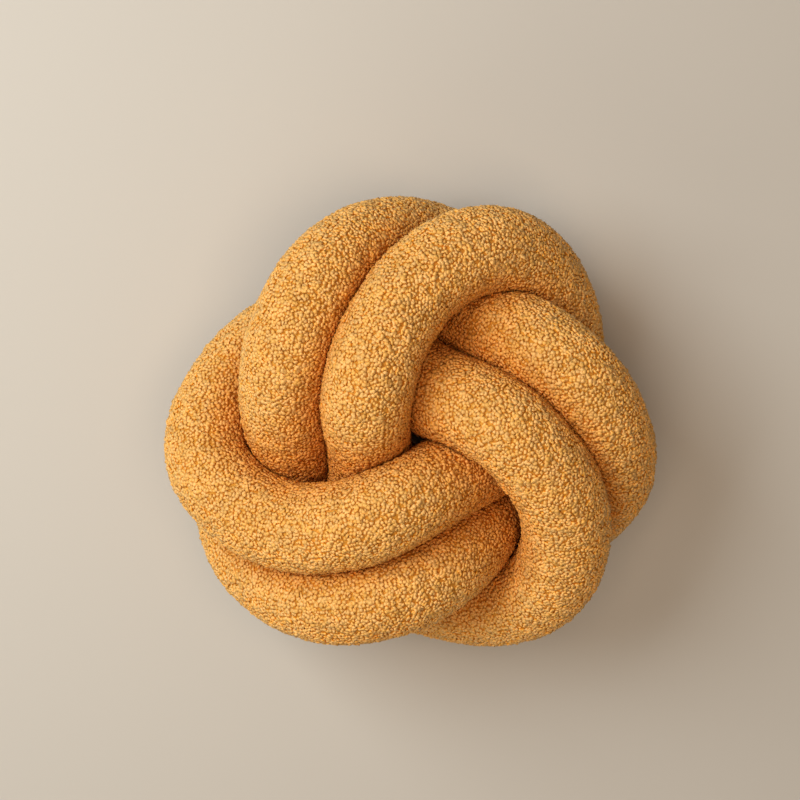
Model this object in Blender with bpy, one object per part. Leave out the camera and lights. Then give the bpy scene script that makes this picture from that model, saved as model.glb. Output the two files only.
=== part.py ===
"""A knot cushion of two stuffed fleece tubes, lying on its back with its face up.

Each tube is a closed loop that goes three times round the cushion: out of the
eye in the middle, over the face, round the edge, along the back and through the
eye again. The tubes run side by side all the way. At the face the inner tube is
next to the eye, and at the back the outer tube is.

Units are metres, +Z is up. The surface that the cushion lies on is z = 0, and
the middle of its box is x = y = 0.
"""

import bpy
import bmesh
import math
import numpy as np

MM = 0.001

PRESSED_GAP = 1.2 * MM           # left between two tubes that press on each other
RING_COUNT = 156                 # cross-sections round a whole loop
SIDE_COUNT = 16                  # corners of a cross-section
FINE_STEPS = 40                  # straight steps from one station of a route to the next
BENT_STRETCH = 90 * MM           # of its own length that a tube doesn't press on
FLAT_ENOUGH = 0.01 * MM          # a corner this near the surface lies on it
ALONG_FLAT = 0.01                # cosine at which a direction runs along a flat and misses it

# The route of each tube's middle, and how thick the tube is there. A fold is one
# turn of the knot, with six stations: out of the eye, top of the face, over the
# face; face to edge, edge to back, back to the eye. The columns of a station are
# right, up the face, height above the surface, and half width, in mm. The tubes
# are squeezed thin in the eye.
INNER_ROUTE = {
    "upper fold": ((-28, -19, 107, 26), (-29, 32, 149, 30), (-2, 94, 134, 30),
                   (57, 120, 101, 30), (100, 71, 62, 30), (90, 4, 78, 30)),
    "left fold": ((36, -24, 115, 25), (-18, -46, 150, 30), (-84, -60, 128, 30),
                  (-137, -20, 96, 30), (-109, 41, 63, 30), (-50, 66, 79, 30)),
    "lower fold": ((6, 33, 109, 27), (60, 11, 148, 30), (102, -52, 133, 30),
                   (82, -118, 92, 30), (17, -127, 62, 30), (-27, -87, 81, 30)),
}
OUTER_ROUTE = {
    "upper fold": ((-75, -19, 80, 30), (-80, 55, 128, 31), (-46, 114, 106, 30),
                   (12, 119, 48, 30), (63, 68, 27, 30), (48, -12, 35, 28)),
    "left fold": ((49, -62, 86, 30), (-7, -102, 132, 31), (-82, -109, 105, 30),
                  (-122, -62, 51, 30), (-87, 12, 28, 30), (-12, 37, 34, 28)),
    "lower fold": ((38, 69, 82, 30), (103, 43, 128, 30), (136, -24, 98, 30),
                   (106, -78, 48, 30), (36, -92, 28, 30), (-25, -39, 33, 28)),
}

FLEECE_COLOUR = (0.62, 0.27, 0.055, 1.0)
FLEECE_ROUGHNESS = 0.95


def clear_scene():
    """Remove every object that is in the file."""
    for old in list(bpy.data.objects):
        bpy.data.objects.remove(old, do_unlink=True)


def route_stations(folds):
    """Place and half width at the stations of one tube, in metres, in order round its loop."""
    return np.array([station for fold in folds.values() for station in fold]) * MM


def smooth_loop(stations, count):
    """Middles and half widths at even distances on the closed cubic spline through the stations."""
    total = len(stations)
    blend = np.eye(total) * 4 / 6
    for i in range(total):
        blend[i, (i - 1) % total] = 1 / 6
        blend[i, (i + 1) % total] = 1 / 6
    controls = np.linalg.solve(blend, stations)

    fine_count = FINE_STEPS * total
    fine = np.zeros((fine_count, 4))
    for i in range(fine_count):
        first, part = divmod(i * total / fine_count, 1)
        weights = ((1 - part) ** 3, 3 * part ** 3 - 6 * part ** 2 + 4,
                   -3 * part ** 3 + 3 * part ** 2 + 3 * part + 1, part ** 3)
        for k, weight in enumerate(weights):
            fine[i] += weight / 6 * controls[(int(first) - 1 + k) % total]

    closed = np.vstack([fine, fine[:1]])
    steps = np.linalg.norm(np.diff(closed[:, :3], axis=0), axis=1)
    travelled = np.concatenate([[0], np.cumsum(steps)])
    wanted = np.arange(count) / count * travelled[-1]
    even = np.stack([np.interp(wanted, travelled, column) for column in closed.T], axis=1)
    return even[:, :3], even[:, 3], travelled[-1]


def section_frames(middles):
    """Two unit vectors across the tube at each point, which turn with it and meet at the end."""
    count = len(middles)
    along = np.roll(middles, -1, axis=0) - np.roll(middles, 1, axis=0)
    along /= np.linalg.norm(along, axis=1, keepdims=True)

    across = np.zeros((count + 1, 3))
    across[0] = np.cross(along[0], (0, 0, 1))
    for i in range(count):
        ahead = along[(i + 1) % count]
        start = across[i] / np.linalg.norm(across[i])
        across[i + 1] = start - ahead * np.dot(start, ahead)
    across /= np.linalg.norm(across, axis=1, keepdims=True)

    # The twist that is left over at the end is shared out along the loop.
    side = np.cross(along[0], across[0])
    left_over = math.atan2(np.dot(across[count], side), np.dot(across[count], across[0]))
    turn = -left_over * np.arange(count) / count
    first = across[:count]
    second = np.cross(along, first)
    cosines, sines = np.cos(turn)[:, None], np.sin(turn)[:, None]
    return first * cosines + second * sines, second * cosines - first * sines


def pressed_reach(middle, half_width, outward, others, other_half_widths):
    """How far the tube reaches from its middle: no further than a flat half way to each neighbour."""
    offsets = others - middle
    distances = np.linalg.norm(offsets, axis=1)
    share = (distances ** 2 + half_width ** 2 - other_half_widths ** 2) / (2 * distances)
    flats = share - PRESSED_GAP / 2
    towards = outward @ (offsets / distances[:, None]).T
    limits = flats / np.maximum(towards, ALONG_FLAT)
    limits = np.where(towards > ALONG_FLAT, limits, half_width)
    on_surface = middle[2] / np.maximum(-outward[:, 2], ALONG_FLAT)
    return np.minimum(half_width, np.minimum(limits.min(axis=1), on_surface))


def tube_rings(tube, neighbour):
    """The corners of every cross-section of one tube, pressed where it touches."""
    middles, half_widths, length = tube
    neighbour_middles, neighbour_half_widths, _ = neighbour
    first, second = section_frames(middles)
    angles = np.arange(SIDE_COUNT) * 2 * math.pi / SIDE_COUNT
    order = np.arange(len(middles))
    rings = []
    for i, middle in enumerate(middles):
        outward = np.outer(np.cos(angles), first[i]) + np.outer(np.sin(angles), second[i])
        steps_away = np.minimum((order - i) % len(middles), (i - order) % len(middles))
        far = steps_away * length / len(middles) > BENT_STRETCH
        others = np.vstack([neighbour_middles, middles[far]])
        other_half_widths = np.concatenate([neighbour_half_widths, half_widths[far]])
        reach = pressed_reach(middle, half_widths[i], outward, others, other_half_widths)
        ring = middle + outward * reach[:, None]
        ring[:, 2] = np.where(ring[:, 2] < FLAT_ENOUGH, 0.0, ring[:, 2])
        rings.append(ring)
    return rings


def fleece_material(name):
    """Plain ochre fleece."""
    material = bpy.data.materials.new(name)
    material.use_nodes = True
    shader = material.node_tree.nodes["Principled BSDF"]
    shader.inputs["Base Color"].default_value = FLEECE_COLOUR
    shader.inputs["Roughness"].default_value = FLEECE_ROUGHNESS
    shader.inputs["Metallic"].default_value = 0.0
    return material


def add_tube(name, rings):
    """One closed tube, bridged from ring to ring and back to the first."""
    shape = bmesh.new()
    corners = [[shape.verts.new(point) for point in ring] for ring in rings]
    for i, ring in enumerate(corners):
        ahead = corners[(i + 1) % len(corners)]
        for j in range(SIDE_COUNT):
            k = (j + 1) % SIDE_COUNT
            shape.faces.new((ring[j], ahead[j], ahead[k], ring[k]))
    bmesh.ops.triangulate(shape, faces=shape.faces[:], quad_method='SHORT_EDGE')
    if shape.calc_volume(signed=True) < 0:
        bmesh.ops.reverse_faces(shape, faces=shape.faces[:])
    mesh = bpy.data.meshes.new(name)
    shape.to_mesh(mesh)
    shape.free()
    mesh.shade_smooth()
    mesh.materials.append(fleece_material(name + "_fleece"))
    tube = bpy.data.objects.new(name, mesh)
    bpy.context.scene.collection.objects.link(tube)
    return tube


def centred(tubes):
    """The tubes, moved so that the middle of their box is x = y = 0."""
    every = np.vstack([middles for middles, half_widths, length in tubes])
    box_middle = (every.min(axis=0) + every.max(axis=0)) / 2 * (1, 1, 0)
    return [(middles - box_middle, half_widths, length) for middles, half_widths, length in tubes]


clear_scene()
inner, outer = centred([smooth_loop(route_stations(route), RING_COUNT)
                        for route in (INNER_ROUTE, OUTER_ROUTE)])
add_tube("inner_tube", tube_rings(inner, outer))
add_tube("outer_tube", tube_rings(outer, inner))
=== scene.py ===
import math

import bpy
import numpy as np
from mathutils import Matrix, Vector
from mathutils.bvhtree import BVHTree


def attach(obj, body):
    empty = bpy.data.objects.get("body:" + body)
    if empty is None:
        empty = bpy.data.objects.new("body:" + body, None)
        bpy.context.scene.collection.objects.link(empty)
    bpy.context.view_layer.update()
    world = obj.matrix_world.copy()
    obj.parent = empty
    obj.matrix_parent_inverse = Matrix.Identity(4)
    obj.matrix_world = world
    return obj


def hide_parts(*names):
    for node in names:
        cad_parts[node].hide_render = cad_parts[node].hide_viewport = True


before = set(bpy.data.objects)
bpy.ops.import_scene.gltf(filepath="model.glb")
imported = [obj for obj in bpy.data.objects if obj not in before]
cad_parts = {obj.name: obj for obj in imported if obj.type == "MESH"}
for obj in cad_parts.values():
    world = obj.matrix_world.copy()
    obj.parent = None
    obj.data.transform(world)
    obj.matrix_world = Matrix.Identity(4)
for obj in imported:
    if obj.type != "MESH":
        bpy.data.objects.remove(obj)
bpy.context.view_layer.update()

# The knot's lay. Both stuffed tubes are tied before they are covered in curls, so their routes
# are found together: each is a closed loop of three folds, pressed flat where it meets itself,
# the other tube and the surface that the cushion lies on.
MM = 0.001
PILE_DEPTH = 1.5 * MM            # from the backing cloth up to the tips of the curls
PRESSED_GAP = 1.2 * MM           # between the tips of two tubes that press on each other
FINE_STEPS = 40                  # straight steps from one station of a route to the next
BENT_STRETCH = 90 * MM           # of its own length that a tube doesn't press on
ALONG_FLAT = 0.01                # cosine at which a direction runs along a flat and misses it
QUAD_SIZE = 3.4 * MM             # side of a quad of the cover
EDGE_SOFTNESS = 3.0 * MM         # how far the rim of a pressed flat is rounded

# Stations of each tube's middle, six a fold: right, up the face, height and half width, in mm.
INNER_ROUTE = {
    "upper": ((-28, -19, 107, 28), (-29, 32, 149, 30), (-2, 94, 134, 30),
              (57, 120, 101, 30), (100, 71, 62, 30), (90, 4, 78, 30)),
    "left": ((36, -24, 115, 29), (-18, -46, 150, 30), (-84, -60, 128, 30),
             (-137, -20, 96, 30), (-109, 41, 63, 30), (-50, 66, 79, 30)),
    "lower": ((6, 33, 109, 31), (60, 11, 148, 30), (102, -52, 133, 30),
              (82, -118, 92, 30), (17, -127, 62, 30), (-27, -87, 81, 30)),
}
OUTER_ROUTE = {
    "upper": ((-75, -19, 80, 30), (-80, 55, 128, 31), (-46, 114, 106, 30),
              (12, 119, 48, 30), (63, 68, 27, 30), (48, -12, 35, 28)),
    "left": ((49, -62, 86, 30), (-7, -102, 132, 31), (-82, -109, 105, 30),
             (-122, -62, 51, 30), (-87, 12, 28, 30), (-12, 37, 34, 28)),
    "lower": ((38, 69, 82, 30), (103, 43, 128, 30), (136, -24, 98, 30),
              (106, -78, 48, 30), (36, -92, 28, 30), (-25, -39, 33, 28)),
}
FOLD_NAMES = tuple(INNER_ROUTE)


def smooth_loop(route, spacing):
    """Middles, half widths and length of the closed cubic spline through a route's stations."""
    stations = np.array([station for fold in route.values() for station in fold]) * MM
    total = len(stations)
    blend = np.eye(total) * 4 / 6
    for i in range(total):
        blend[i, (i - 1) % total] = 1 / 6
        blend[i, (i + 1) % total] = 1 / 6
    controls = np.linalg.solve(blend, stations)
    fine = np.zeros((FINE_STEPS * total, 4))
    for i in range(len(fine)):
        first, part = divmod(i / FINE_STEPS, 1)
        weights = ((1 - part) ** 3, 3 * part ** 3 - 6 * part ** 2 + 4,
                   -3 * part ** 3 + 3 * part ** 2 + 3 * part + 1, part ** 3)
        for k, weight in enumerate(weights):
            fine[i] += weight / 6 * controls[(int(first) - 1 + k) % total]
    closed = np.vstack([fine, fine[:1]])
    steps = np.linalg.norm(np.diff(closed[:, :3], axis=0), axis=1)
    travelled = np.concatenate([[0], np.cumsum(steps)])
    count = len(route) * round(travelled[-1] / spacing / len(route))
    wanted = np.arange(count) / count * travelled[-1]
    even = np.stack([np.interp(wanted, travelled, column) for column in closed.T], axis=1)
    return even[:, :3], even[:, 3], travelled[-1]


def section_frames(middles):
    """Two unit vectors across the tube at each point, which turn with it and meet at the end."""
    count = len(middles)
    along = np.roll(middles, -1, axis=0) - np.roll(middles, 1, axis=0)
    along /= np.linalg.norm(along, axis=1, keepdims=True)
    across = np.zeros((count + 1, 3))
    across[0] = np.cross(along[0], (0, 0, 1))
    for i in range(count):
        ahead = along[(i + 1) % count]
        start = across[i] / np.linalg.norm(across[i])
        across[i + 1] = start - ahead * np.dot(start, ahead)
    across /= np.linalg.norm(across, axis=1, keepdims=True)
    side = np.cross(along[0], across[0])
    left_over = math.atan2(np.dot(across[count], side), np.dot(across[count], across[0]))
    turn = -left_over * np.arange(count) / count
    first = across[:count]
    second = np.cross(along, first)
    cosines, sines = np.cos(turn)[:, None], np.sin(turn)[:, None]
    return first * cosines + second * sines, second * cosines - first * sines


def softened(grid, reach):
    """A closed grid of values, averaged over a few steps each way along and round the tube."""
    for axis in (0, 1):
        total, weights = grid * 1.0, 1.0
        for step in range(1, 2 * reach + 1):
            weight = math.exp(-(step / reach) ** 2)
            total += weight * (np.roll(grid, step, axis=axis) + np.roll(grid, -step, axis=axis))
            weights += 2 * weight
        grid = total / weights
    return grid


def cover_grid(tube, neighbour):
    """Points of one tube's backing cloth, ring by ring, and the directions out of the tube."""
    middles, half_widths, length = tube
    first, second = section_frames(middles)
    side_count = round(2 * math.pi * half_widths.mean() / QUAD_SIZE)
    angles = np.arange(side_count) * 2 * math.pi / side_count
    outward = (np.cos(angles)[None, :, None] * first[:, None, :]
               + np.sin(angles)[None, :, None] * second[:, None, :])
    order = np.arange(len(middles))
    reach = np.zeros((len(middles), side_count))
    for i, middle in enumerate(middles):
        steps_away = np.minimum((order - i) % len(middles), (i - order) % len(middles))
        far = steps_away * length / len(middles) > BENT_STRETCH
        others = np.vstack([neighbour[0], middles[far]])
        widths = np.concatenate([neighbour[1], half_widths[far]])
        offsets = others - middle
        distances = np.linalg.norm(offsets, axis=1)
        share = (distances ** 2 + half_widths[i] ** 2 - widths ** 2) / (2 * distances)
        towards = outward[i] @ (offsets / distances[:, None]).T
        limits = (share - PRESSED_GAP / 2) / np.maximum(towards, ALONG_FLAT)
        limits = np.where(towards > ALONG_FLAT, limits, half_widths[i])
        on_surface = middle[2] / np.maximum(-outward[i, :, 2], ALONG_FLAT)
        reach[i] = np.minimum(half_widths[i], np.minimum(limits.min(axis=1), on_surface))
    reach = softened(reach, round(EDGE_SOFTNESS / QUAD_SIZE)) - PILE_DEPTH
    return middles[:, None, :] + outward * reach[:, :, None], outward


def grid_faces(rings, sides):
    """Corner numbers of the quads of a closed tube, wound so that they face outwards."""
    ring, side = np.meshgrid(np.arange(rings), np.arange(sides), indexing="ij")
    ahead, next_side = (ring + 1) % rings, (side + 1) % sides
    corners = (ring * sides + side, ring * sides + next_side,
               ahead * sides + next_side, ahead * sides + side)
    return np.stack(corners, axis=-1).reshape(-1, 4)


inner_tube = smooth_loop(INNER_ROUTE, QUAD_SIZE)
outer_tube = smooth_loop(OUTER_ROUTE, QUAD_SIZE)
every_middle = np.vstack([inner_tube[0], outer_tube[0]])
to_middle = (every_middle.min(axis=0) + every_middle.max(axis=0)) / 2 * (1, 1, 0)
inner_tube = (inner_tube[0] - to_middle, *inner_tube[1:])
outer_tube = (outer_tube[0] - to_middle, *outer_tube[1:])
covers = {"inner": cover_grid(inner_tube, outer_tube),
          "outer": cover_grid(outer_tube, inner_tube)}

# How open each part of the cloth is: the share of the ways out of it that leave the knot. Curls
# stand only where the cloth is open, because they are crushed flat between two pressed tubes.
LOOK_STEP = 3                    # quads between two places that are looked from
LOOK_COUNT = 24                  # ways out of each place
LOOK_START = 1.5 * MM            # off the cloth, so that a way doesn't meet its own start
LOOK_FAR = 0.5                   # metres that a way is followed, which is past the whole knot

tree_points, tree_faces = [], []
for points, outward in covers.values():
    tree_faces.extend((grid_faces(*points.shape[:2]) + sum(map(len, tree_points))).tolist())
    tree_points.append(points.reshape(-1, 3))
knot_tree = BVHTree.FromPolygons(np.vstack(tree_points).tolist(), tree_faces)


def openness(points, outward):
    """The share of the ways out that meet no cloth, from 0 to 1, at each point of a cover."""
    rings, sides = points.shape[:2]
    ways = []
    for k in range(LOOK_COUNT):
        height = 1 - (k + 0.5) / LOOK_COUNT
        spin = k * math.pi * (3 - math.sqrt(5))
        flat = math.sqrt(1 - height * height)
        ways.append((flat * math.cos(spin), flat * math.sin(spin), height))
    rows, columns = range(0, rings, LOOK_STEP), range(0, sides, LOOK_STEP)
    seen = np.zeros((len(rows), len(columns)))
    for a, i in enumerate(rows):
        for b, j in enumerate(columns):
            out = Vector(outward[i, j])
            right = out.orthogonal().normalized()
            up = out.cross(right)
            start = Vector(points[i, j]) + out * LOOK_START
            free = 0
            for x, y, z in ways:
                if knot_tree.ray_cast(start, right * x + up * y + out * z, LOOK_FAR)[0] is None:
                    free += 1
            seen[a, b] = free / LOOK_COUNT
    ring_at = np.arange(rings) / LOOK_STEP
    side_at = np.arange(sides) / LOOK_STEP
    seen = np.stack([np.interp(ring_at, np.arange(len(rows) + 1), np.append(column, column[0]))
                     for column in seen.T], axis=1)
    return np.stack([np.interp(side_at, np.arange(len(columns) + 1), np.append(row, row[0]))
                     for row in seen], axis=0)


# The covers. Each tube is one long strip of ochre teddy fleece, sewn along its length with the
# seam turned to the inside of the knot, stuffed tight with fibre and closed end to end. The
# stuffing is a little uneven, so the cloth swells and dips by a fraction of a millimetre.
LUMP_HEIGHT = 0.5 * MM
LUMP_WAVES = ((7, 2), (19, -1), (31, 3))    # each wave's number along the tube and round it
SHOWS_CURLS = 0.12               # openness under which the cloth rises in place of crushed curls
GRAIN_SCALE = 420.0              # of the backing's knit
GRAIN_DEPTH = 0.8 * MM
BACKING_PATCHES = (45.0, 0.10)   # scale and amount of the backing's changes of shade
MOST_OF_NOISE = (0.3, 0.7)       # where most values of a noise lie
# The backing's knit grain runs between these two colours, both painted darker than the yarn:
# painted shade in the gaps between the curls.
BACKING_GRAIN_AND_PAINTED_SHADE = ((0.38, (0.49, 0.215, 0.026)), (0.62, (0.61, 0.295, 0.050)))

# Painted shade: what is left of red, green and blue at each openness, so that the creases are
# painted darker and redder.
PAINTED_CREASE_SHADE = ((0.02, (0.15, 0.05, 0.02)), (0.10, (0.58, 0.32, 0.16)),
                 (0.25, (0.82, 0.54, 0.30)), (0.55, (0.89, 0.71, 0.51)), (0.85, (1.0, 1.0, 1.0)))


def fill_ramp(node, stops):
    """Gives a Color Ramp node its stops, each of them a position and a colour."""
    elements = node.color_ramp.elements
    for element, (position, colour) in zip(tuple(elements), (stops[0], stops[-1])):
        element.position, element.color = position, (*colour, 1.0)
    for position, colour in stops[1:-1]:
        elements.new(position).color = (*colour, 1.0)


def fleece_tone_and_painted_shade_group():
    """Shared by the backing and the curls: slow random changes of tone, and painted shade that
    makes the creases darker and redder.
    """
    group = bpy.data.node_groups.new("fleece_tone", "ShaderNodeTree")
    group.interface.new_socket("Color", in_out="INPUT", socket_type="NodeSocketColor")
    group.interface.new_socket("Patch Scale", in_out="INPUT", socket_type="NodeSocketFloat")
    group.interface.new_socket("Patch Amount", in_out="INPUT", socket_type="NodeSocketFloat")
    group.interface.new_socket("Openness", in_out="INPUT", socket_type="NodeSocketFloat")
    group.interface.new_socket("Color", in_out="OUTPUT", socket_type="NodeSocketColor")
    nodes, links = group.nodes, group.links
    given, result = nodes.new("NodeGroupInput"), nodes.new("NodeGroupOutput")
    place = nodes.new("ShaderNodeTexCoord")
    patches = nodes.new("ShaderNodeTexNoise")
    patches.inputs["Detail"].default_value = 3.0
    patches.inputs["Roughness"].default_value = 0.6
    links.new(place.outputs["Object"], patches.inputs["Vector"])
    links.new(given.outputs["Patch Scale"], patches.inputs["Scale"])
    lighter = nodes.new("ShaderNodeMapRange")
    lighter.inputs["From Min"].default_value = MOST_OF_NOISE[0]
    lighter.inputs["From Max"].default_value = MOST_OF_NOISE[1]
    lighter.inputs["To Min"].default_value = -1.0
    lighter.inputs["To Max"].default_value = 1.0
    links.new(patches.outputs["Fac"], lighter.inputs["Value"])
    amount = nodes.new("ShaderNodeMath")
    amount.operation = "MULTIPLY_ADD"
    amount.inputs[2].default_value = 1.0
    links.new(lighter.outputs["Result"], amount.inputs[0])
    links.new(given.outputs["Patch Amount"], amount.inputs[1])
    shade = nodes.new("ShaderNodeHueSaturation")
    links.new(amount.outputs["Value"], shade.inputs["Value"])
    links.new(given.outputs["Color"], shade.inputs["Color"])
    # Painted shade: the less open the cloth, the darker and redder its colour is painted, most of
    # all in the creases.
    painted_shade_ramp = nodes.new("ShaderNodeValToRGB")
    fill_ramp(painted_shade_ramp, PAINTED_CREASE_SHADE)
    links.new(given.outputs["Openness"], painted_shade_ramp.inputs["Fac"])
    warm = nodes.new("ShaderNodeMix")
    warm.data_type = "RGBA"
    warm.blend_type = "MULTIPLY"
    warm.inputs["Factor"].default_value = 1.0
    links.new(shade.outputs["Color"], warm.inputs["A"])
    links.new(painted_shade_ramp.outputs["Color"], warm.inputs["B"])
    links.new(warm.outputs["Result"], result.inputs["Color"])
    return group


fleece_tone = fleece_tone_and_painted_shade_group()


def ground_material():
    """The knitted backing that shows between the curls, with its knit grain, painted darker than
    the yarn as painted shade in the gaps.
    """
    material = bpy.data.materials.new("fleece_backing")
    material.use_nodes = True
    nodes, links = material.node_tree.nodes, material.node_tree.links
    shader = nodes["Principled BSDF"]
    shader.inputs["Specular IOR Level"].default_value = 0.1
    shader.inputs["Roughness"].default_value = 0.95
    place = nodes.new("ShaderNodeTexCoord")
    grain = nodes.new("ShaderNodeTexNoise")
    grain.inputs["Scale"].default_value = GRAIN_SCALE
    grain.inputs["Detail"].default_value = 3.0
    grain.inputs["Roughness"].default_value = 0.6
    grain.inputs["Distortion"].default_value = 0.6
    links.new(place.outputs["Object"], grain.inputs["Vector"])
    # The grain's colours, painted darker than the yarn as painted shade between the curls.
    ramp = nodes.new("ShaderNodeValToRGB")
    fill_ramp(ramp, BACKING_GRAIN_AND_PAINTED_SHADE)
    links.new(grain.outputs["Fac"], ramp.inputs["Fac"])
    seen = nodes.new("ShaderNodeAttribute")
    seen.attribute_name = "open"
    tone = nodes.new("ShaderNodeGroup")
    tone.node_tree = fleece_tone
    tone.inputs["Patch Scale"].default_value = BACKING_PATCHES[0]
    tone.inputs["Patch Amount"].default_value = BACKING_PATCHES[1]
    links.new(ramp.outputs["Color"], tone.inputs["Color"])
    links.new(seen.outputs["Fac"], tone.inputs["Openness"])
    links.new(tone.outputs["Color"], shader.inputs["Base Color"])
    bump = nodes.new("ShaderNodeBump")
    bump.inputs["Strength"].default_value = 1.0
    bump.inputs["Distance"].default_value = GRAIN_DEPTH
    links.new(grain.outputs["Fac"], bump.inputs["Height"])
    links.new(bump.outputs["Normal"], shader.inputs["Normal"])
    return material


def cover(name, points, outward, material, phase):
    """One tube's closed cover of quads, with its fold numbers and openness as attributes."""
    rings, sides = points.shape[:2]
    around = np.arange(sides)[None, :] / sides * 2 * math.pi
    along = np.arange(rings)[:, None] / rings * 2 * math.pi
    waves = [np.sin(lengthways * along + roundways * around + turn * phase)
             for turn, (lengthways, roundways) in enumerate(LUMP_WAVES, start=1)]
    lumps = sum(waves) / len(waves)
    seen = openness(points, outward)
    crushed = 1 - np.clip(seen / SHOWS_CURLS, 0, 1)
    rise = lumps * LUMP_HEIGHT * (1 - crushed) + PILE_DEPTH * crushed
    swollen = points + outward * rise[:, :, None]
    faces = grid_faces(rings, sides)
    mesh = bpy.data.meshes.new(name)
    mesh.from_pydata(swollen.reshape(-1, 3).tolist(), [], faces.tolist())
    mesh.shade_smooth()
    open_values = mesh.attributes.new("open", "FLOAT", "POINT")
    open_values.data.foreach_set("value", seen.ravel().astype(np.float32))
    fold_numbers = mesh.attributes.new("fold", "INT", "FACE")
    fold_of_ring = np.arange(rings) * len(FOLD_NAMES) // rings
    fold_numbers.data.foreach_set("value", np.repeat(fold_of_ring, sides))
    mesh.materials.append(material)
    made = bpy.data.objects.new(name, mesh)
    bpy.context.scene.collection.objects.link(made)
    return made


backing = ground_material()
tubes = {}
for phase, (which, (points, outward)) in enumerate(covers.items()):
    tubes[which] = cover(which + "_tube_cover", points, outward, backing, phase + 1)
    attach(tubes[which], "root")
    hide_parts(which + "_tube")


# The curls. The face of the fleece is short yarn, sheared and tumbled until each tuft curls over.
# Each curl here is a small bent strand of its own, rooted in the backing, with a light tip, a
# painted highlight, and a dark root, painted shade between the curls. They turn every way at
# random, and lie a little over each other.
CURL_SPACING = 1.85 * MM
CURL_LENGTH = 4.0 * MM
CURL_THICKNESS = 3.4 * MM
CURL_HEIGHT = 1.45 * MM
CURL_BEND = 0.4                  # how far its ends turn to one side, as a share of its length
CURL_LEAN = 0.5                  # the most that it leans to each side, in radians
CURL_SIZES = ((0.75, 0.75, 0.8), (1.15, 1.15, 1.25))    # least and most: along, across and up
CLUMP_SCALE = 150.0              # of the clumps of fuller and slighter curls
CLUMP_SIZES = (0.8, 1.25)        # of the slightest and the fullest clumps
ROOTS_TRIED = 6                  # in each square of the spacing, before close ones are dropped
STANDS_FROM = 0.04               # openness up to which the cloth has no curls
LIGHT_IN_YARN = 1.5 * MM         # how far light goes from strand to strand
CURL_PATCHES = (95.0, 0.13)      # scale and amount of the curls' changes of shade
# Painted shade and painted highlight: the root colour is darker and redder, as the shade between
# the curls, and the tip colours lighter, as the light on their tops. The two tip colours are
# mixed at random, curl by curl.
ROOT_SHADE_FADES = (0.05, 0.7)         # share of the way up over which the root's colour fades
SHADED_ROOT_COLOUR = (0.80, 0.33, 0.012, 1.0)
LIT_TIP_COLOUR = (0.75, 0.40, 0.090, 1.0)
PALE_LIT_TIP_COLOUR = (0.80, 0.47, 0.165, 1.0)


def curl_material():
    """Ochre yarn, each curl its own shade: dark and warm at the root as painted shade, and light
    at the tip as a painted highlight.
    """
    material = bpy.data.materials.new("fleece_curls")
    material.use_nodes = True
    nodes, links = material.node_tree.nodes, material.node_tree.links
    shader = nodes["Principled BSDF"]
    shader.inputs["Subsurface Weight"].default_value = 0.1
    shader.inputs["Subsurface Radius"].default_value = (1.0, 1.0, 1.0)
    shader.inputs["Subsurface Scale"].default_value = LIGHT_IN_YARN
    shader.inputs["Specular IOR Level"].default_value = 0.3
    shader.inputs["Roughness"].default_value = 0.5
    tip = nodes.new("ShaderNodeAttribute")
    tip.attribute_name = "tip"
    tint = nodes.new("ShaderNodeAttribute")
    tint.attribute_name = "tint"
    seen = nodes.new("ShaderNodeAttribute")
    seen.attribute_name = "open"
    light = nodes.new("ShaderNodeMix")
    light.data_type = "RGBA"
    light.inputs["A"].default_value = LIT_TIP_COLOUR
    light.inputs["B"].default_value = PALE_LIT_TIP_COLOUR
    links.new(tint.outputs["Fac"], light.inputs["Factor"])
    climb = nodes.new("ShaderNodeMapRange")
    climb.interpolation_type = "SMOOTHSTEP"
    climb.inputs["From Min"].default_value = ROOT_SHADE_FADES[0]
    climb.inputs["From Max"].default_value = ROOT_SHADE_FADES[1]
    links.new(tip.outputs["Fac"], climb.inputs["Value"])
    # The painted shade at the root fades into the painted highlight at the tip, by the share of
    # the way up.
    strand = nodes.new("ShaderNodeMix")
    strand.data_type = "RGBA"
    strand.inputs["A"].default_value = SHADED_ROOT_COLOUR
    links.new(climb.outputs["Result"], strand.inputs["Factor"])
    links.new(light.outputs["Result"], strand.inputs["B"])
    tone = nodes.new("ShaderNodeGroup")
    tone.node_tree = fleece_tone
    tone.inputs["Patch Scale"].default_value = CURL_PATCHES[0]
    tone.inputs["Patch Amount"].default_value = CURL_PATCHES[1]
    links.new(strand.outputs["Result"], tone.inputs["Color"])
    links.new(seen.outputs["Fac"], tone.inputs["Openness"])
    links.new(tone.outputs["Color"], shader.inputs["Base Color"])
    return material


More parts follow.
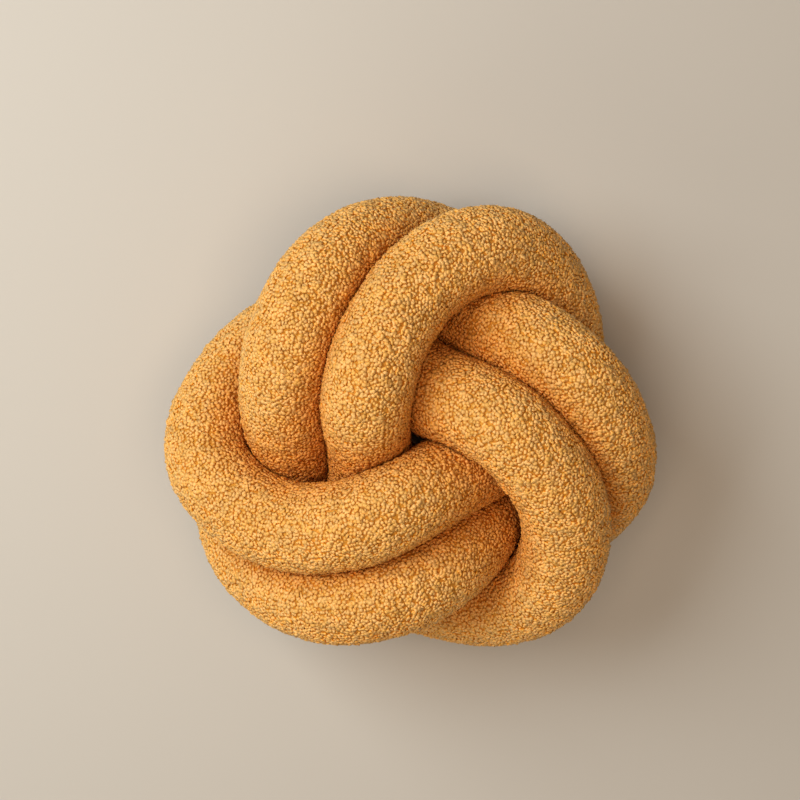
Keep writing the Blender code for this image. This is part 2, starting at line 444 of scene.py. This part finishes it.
def curl_tree():
    """Geometry nodes that root bent strands of yarn in one fold of a cover."""
    tree = bpy.data.node_groups.new("curls_on_a_fold", "GeometryNodeTree")
    for name, kind in (("Cover", "Geometry"), ("Fold", "Int"), ("Spacing", "Float"),
                       ("Length", "Float"), ("Thickness", "Float"), ("Height", "Float"),
                       ("Curl", "Float"), ("Seed", "Int"), ("Yarn", "Material")):
        tree.interface.new_socket(name, in_out="INPUT", socket_type="NodeSocket" + kind)
    tree.interface.new_socket("Curls", in_out="OUTPUT", socket_type="NodeSocketGeometry")
    nodes, links = tree.nodes, tree.links
    given, result = nodes.new("NodeGroupInput"), nodes.new("NodeGroupOutput")

    def fed(node, *values):
        """The node, with its first inputs set to numbers or linked to other nodes' outputs."""
        for socket, value in zip(node.inputs, values):
            if isinstance(value, (int, float)):
                socket.default_value = value
            else:
                links.new(value, socket)
        return node

    def maths(operation, first, second):
        node = nodes.new("ShaderNodeMath")
        node.operation = operation
        return fed(node, first, second).outputs["Value"]

    def vector(x, y, z):
        return fed(nodes.new("ShaderNodeCombineXYZ"), x, y, z).outputs["Vector"]

    def position():
        point = nodes.new("GeometryNodeInputPosition")
        return fed(nodes.new("ShaderNodeSeparateXYZ"), point.outputs["Position"]).outputs

    def random_value(low, high, salt):
        node = nodes.new("FunctionNodeRandomValue")
        node.data_type = "FLOAT" if isinstance(low, float) else "FLOAT_VECTOR"
        sockets = [s for s in node.inputs if s.enabled]
        sockets[0].default_value, sockets[1].default_value = low, high
        links.new(maths("ADD", given.outputs["Seed"], salt), node.inputs["Seed"])
        return next(s for s in node.outputs if s.enabled)

    # One strand: a ball of a dozen triangles, drawn out and bent into an arch with both ends in
    # the backing, and curled to one side. Its height is kept as the share of the way to its tip.
    ball = nodes.new("GeometryNodeMeshUVSphere")
    ball.inputs["Segments"].default_value = 3
    ball.inputs["Rings"].default_value = 3
    ball.inputs["Radius"].default_value = 1.0
    on_ball = position()
    radius = maths("MULTIPLY", given.outputs["Thickness"], 0.5)
    half_length = maths("MULTIPLY", given.outputs["Length"], 0.5)
    from_middle = maths("MULTIPLY", on_ball["Z"], on_ball["Z"])
    arch = maths("MULTIPLY", maths("SUBTRACT", 1, from_middle),
                 maths("SUBTRACT", given.outputs["Height"], maths("MULTIPLY", radius, 0.5)))
    curled = maths("MULTIPLY", maths("MULTIPLY", from_middle, given.outputs["Length"]),
                   given.outputs["Curl"])
    lengthways = maths("MULTIPLY", on_ball["Z"], half_length)
    sideways = maths("ADD", maths("MULTIPLY", on_ball["Y"], radius), curled)
    height = maths("SUBTRACT", arch, maths("MULTIPLY", on_ball["X"], radius))
    strand = nodes.new("GeometryNodeSetPosition")
    links.new(ball.outputs["Mesh"], strand.inputs["Geometry"])
    links.new(vector(lengthways, sideways, height), strand.inputs["Position"])
    keep_tip = nodes.new("GeometryNodeStoreNamedAttribute")
    keep_tip.inputs["Name"].default_value = "tip"
    links.new(strand.outputs["Geometry"], keep_tip.inputs["Geometry"])
    links.new(maths("DIVIDE", position()["Z"], given.outputs["Height"]), keep_tip.inputs["Value"])

    # Roots: spread evenly over the open cloth of one fold.
    fold = nodes.new("GeometryNodeInputNamedAttribute")
    fold.data_type = "INT"
    fold.inputs["Name"].default_value = "fold"
    this_fold = nodes.new("FunctionNodeCompare")
    this_fold.data_type = "INT"
    this_fold.operation = "EQUAL"
    links.new(fold.outputs["Attribute"], this_fold.inputs["A"])
    links.new(given.outputs["Fold"], this_fold.inputs["B"])
    seen = nodes.new("GeometryNodeInputNamedAttribute")
    seen.inputs["Name"].default_value = "open"
    roots = nodes.new("GeometryNodeDistributePointsOnFaces")
    roots.distribute_method = "POISSON"
    links.new(given.outputs["Cover"], roots.inputs["Mesh"])
    links.new(this_fold.outputs["Result"], roots.inputs["Selection"])
    links.new(given.outputs["Spacing"], roots.inputs["Distance Min"])
    square = maths("MULTIPLY", given.outputs["Spacing"], given.outputs["Spacing"])
    links.new(maths("DIVIDE", ROOTS_TRIED, square), roots.inputs["Density Max"])
    links.new(maths("GREATER_THAN", seen.outputs["Attribute"], STANDS_FROM),
              roots.inputs["Density Factor"])
    links.new(given.outputs["Seed"], roots.inputs["Seed"])

    # Each strand leans and turns at random, and has its own size and shade.
    lean = nodes.new("FunctionNodeRotateRotation")
    lean.rotation_space = "LOCAL"
    links.new(roots.outputs["Rotation"], lean.inputs["Rotation"])
    links.new(random_value((-CURL_LEAN, -CURL_LEAN, 0.0), (CURL_LEAN, CURL_LEAN, 2 * math.pi), 1),
              lean.inputs["Rotate By"])
    planted = nodes.new("GeometryNodeInstanceOnPoints")
    links.new(roots.outputs["Points"], planted.inputs["Points"])
    links.new(keep_tip.outputs["Geometry"], planted.inputs["Instance"])
    links.new(lean.outputs["Rotation"], planted.inputs["Rotation"])
    clumps = nodes.new("ShaderNodeTexNoise")
    clumps.inputs["Scale"].default_value = CLUMP_SCALE
    clumps.inputs["Detail"].default_value = 1.0
    fuller = nodes.new("ShaderNodeMapRange")
    fuller.inputs["From Min"].default_value = MOST_OF_NOISE[0]
    fuller.inputs["From Max"].default_value = MOST_OF_NOISE[1]
    fuller.inputs["To Min"].default_value = CLUMP_SIZES[0]
    fuller.inputs["To Max"].default_value = CLUMP_SIZES[1]
    links.new(clumps.outputs["Fac"], fuller.inputs["Value"])
    size = nodes.new("ShaderNodeVectorMath")
    size.operation = "SCALE"
    links.new(random_value(*CURL_SIZES, 2), size.inputs[0])
    links.new(fuller.outputs["Result"], size.inputs["Scale"])
    links.new(size.outputs["Vector"], planted.inputs["Scale"])
    keep_tint = nodes.new("GeometryNodeStoreNamedAttribute")
    keep_tint.domain = "INSTANCE"
    keep_tint.inputs["Name"].default_value = "tint"
    links.new(planted.outputs["Instances"], keep_tint.inputs["Geometry"])
    links.new(random_value(0.0, 1.0, 3), keep_tint.inputs["Value"])
    real = nodes.new("GeometryNodeRealizeInstances")
    links.new(keep_tint.outputs["Geometry"], real.inputs["Geometry"])

    # Under the cushion the curls are pressed flat on what it lies on.
    place = position()
    pressed = nodes.new("GeometryNodeSetPosition")
    links.new(real.outputs["Geometry"], pressed.inputs["Geometry"])
    links.new(vector(place["X"], place["Y"], maths("MAXIMUM", place["Z"], 0)),
              pressed.inputs["Position"])
    smooth = nodes.new("GeometryNodeSetShadeSmooth")
    links.new(pressed.outputs["Geometry"], smooth.inputs["Geometry"])
    dressed = nodes.new("GeometryNodeSetMaterial")
    links.new(smooth.outputs["Geometry"], dressed.inputs["Geometry"])
    links.new(given.outputs["Yarn"], dressed.inputs["Material"])
    links.new(dressed.outputs["Geometry"], result.inputs["Curls"])
    return tree


def curls_on(cover_object, fold, tree, yarn, seed):
    """The curls of one fold as a plain mesh."""
    name = cover_object.name.replace("_tube_cover", f"_tube_{FOLD_NAMES[fold]}_fold_curls")
    grown = bpy.data.objects.new(name + "_tree", cover_object.data)
    bpy.context.scene.collection.objects.link(grown)
    modifier = grown.modifiers.new("curls", "NODES")
    modifier.node_group = tree
    sizes = {"Fold": fold, "Spacing": CURL_SPACING, "Length": CURL_LENGTH,
             "Thickness": CURL_THICKNESS, "Height": CURL_HEIGHT, "Curl": CURL_BEND, "Seed": seed,
             "Yarn": yarn}
    for socket in tree.interface.items_tree:
        if socket.in_out == "INPUT" and socket.name in sizes:
            modifier[socket.identifier] = sizes[socket.name]
    depsgraph = bpy.context.evaluated_depsgraph_get()
    mesh = bpy.data.meshes.new_from_object(grown.evaluated_get(depsgraph),
                                           preserve_all_data_layers=True, depsgraph=depsgraph)
    mesh.name = name
    bpy.data.objects.remove(grown)
    made = bpy.data.objects.new(name, mesh)
    bpy.context.scene.collection.objects.link(made)
    return made


curl_nodes, yarn = curl_tree(), curl_material()
for tube_number, cover_object in enumerate(tubes.values()):
    for fold in range(len(FOLD_NAMES)):
        curls = curls_on(cover_object, fold, curl_nodes, yarn, 10 * tube_number + fold)
        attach(curls, "root")

# The studio: a plain pale floor, and soft light from above the face's upper left, with a weaker
# lamp at the lower left and a warm one overhead.
FLOOR_SIZE = 6.0
FLOOR_COLOUR = (0.52, 0.50, 0.48, 1.0)
ROOM_LIGHT = 0.15                # strength of the light that comes from everywhere
ROOM_COLOUR = (1.0, 0.88, 0.74, 1.0)
floor_mesh = bpy.data.meshes.new("floor")
corner = FLOOR_SIZE / 2
floor_mesh.from_pydata([(-corner, -corner, 0), (corner, -corner, 0), (corner, corner, 0),
                        (-corner, corner, 0)], [], [(0, 1, 2, 3)])
floor_material = bpy.data.materials.new("pale_floor")
floor_material.use_nodes = True
floor_shader = floor_material.node_tree.nodes["Principled BSDF"]
floor_shader.inputs["Base Color"].default_value = FLOOR_COLOUR
floor_shader.inputs["Roughness"].default_value = 0.9
floor_mesh.materials.append(floor_material)
floor = bpy.data.objects.new("floor", floor_mesh)
bpy.context.scene.collection.objects.link(floor)

# Lamps: place right, up and above the floor in metres, width, power and colour.
LAMPS = {
    "key": (-0.95, 0.60, 1.15, 1.0, 22.5, (0.98, 1.0, 0.94)),
    "low_fill": (-0.75, -1.10, 0.85, 1.0, 4.5, (1.0, 0.95, 0.80)),
    "top_fill": (0.05, 0.10, 1.70, 1.0, 12.0, (1.0, 0.74, 0.50)),
}
LIT_POINT = Vector((0, 0, 0.09))    # inside the knot, where every lamp points
for name, (x, y, z, size, power, colour) in LAMPS.items():
    lamp = bpy.data.lights.new(name, "AREA")
    lamp.size, lamp.energy, lamp.color = size, power, colour
    holder = bpy.data.objects.new(name, lamp)
    holder.location = (x, y, z)
    holder.rotation_euler = (LIT_POINT - holder.location).to_track_quat("-Z", "Y").to_euler()
    bpy.context.scene.collection.objects.link(holder)
world = bpy.data.worlds.new("studio")
world.use_nodes = True
world.node_tree.nodes["Background"].inputs["Color"].default_value = ROOM_COLOUR
world.node_tree.nodes["Background"].inputs["Strength"].default_value = ROOM_LIGHT
bpy.context.scene.world = world
bpy.context.scene.view_settings.view_transform = "Standard"

# The camera looks down on the face from ten degrees towards its upper side. The distance and the
# tilt are estimates. The lens and the aim give the knot its size and place in the image.
IMAGE_WIDTH = 800                # pixels
MM_PER_PIXEL = 0.682             # at the knot
EYE_DISTANCE = 1.3               # metres
EYE_TILT = math.radians(10)
SENSOR = 36.0                    # width in mm
face_middle = Vector((0.000877, 0.003227, 0.087))    # a point inside the knot, in metres
face_middle_at = (411, 425)      # in the image, in pixels from its upper left corner
towards_eye = Vector((0, math.sin(EYE_TILT), math.cos(EYE_TILT)))
image_right = Vector((1, 0, 0))
image_up = towards_eye.cross(image_right)
look_at = (face_middle
           + image_right * (IMAGE_WIDTH / 2 - face_middle_at[0]) * MM_PER_PIXEL * MM
           + image_up * (face_middle_at[1] - IMAGE_WIDTH / 2) * MM_PER_PIXEL * MM)
camera = bpy.data.objects.new("camera", bpy.data.cameras.new("camera"))
camera.data.sensor_width = SENSOR
camera.data.lens = SENSOR * EYE_DISTANCE / (IMAGE_WIDTH * MM_PER_PIXEL * MM)
camera.location = look_at + towards_eye * EYE_DISTANCE
camera.rotation_euler = Matrix((image_right, image_up, towards_eye)).transposed().to_euler()
bpy.context.scene.collection.objects.link(camera)
bpy.context.scene.camera = camera
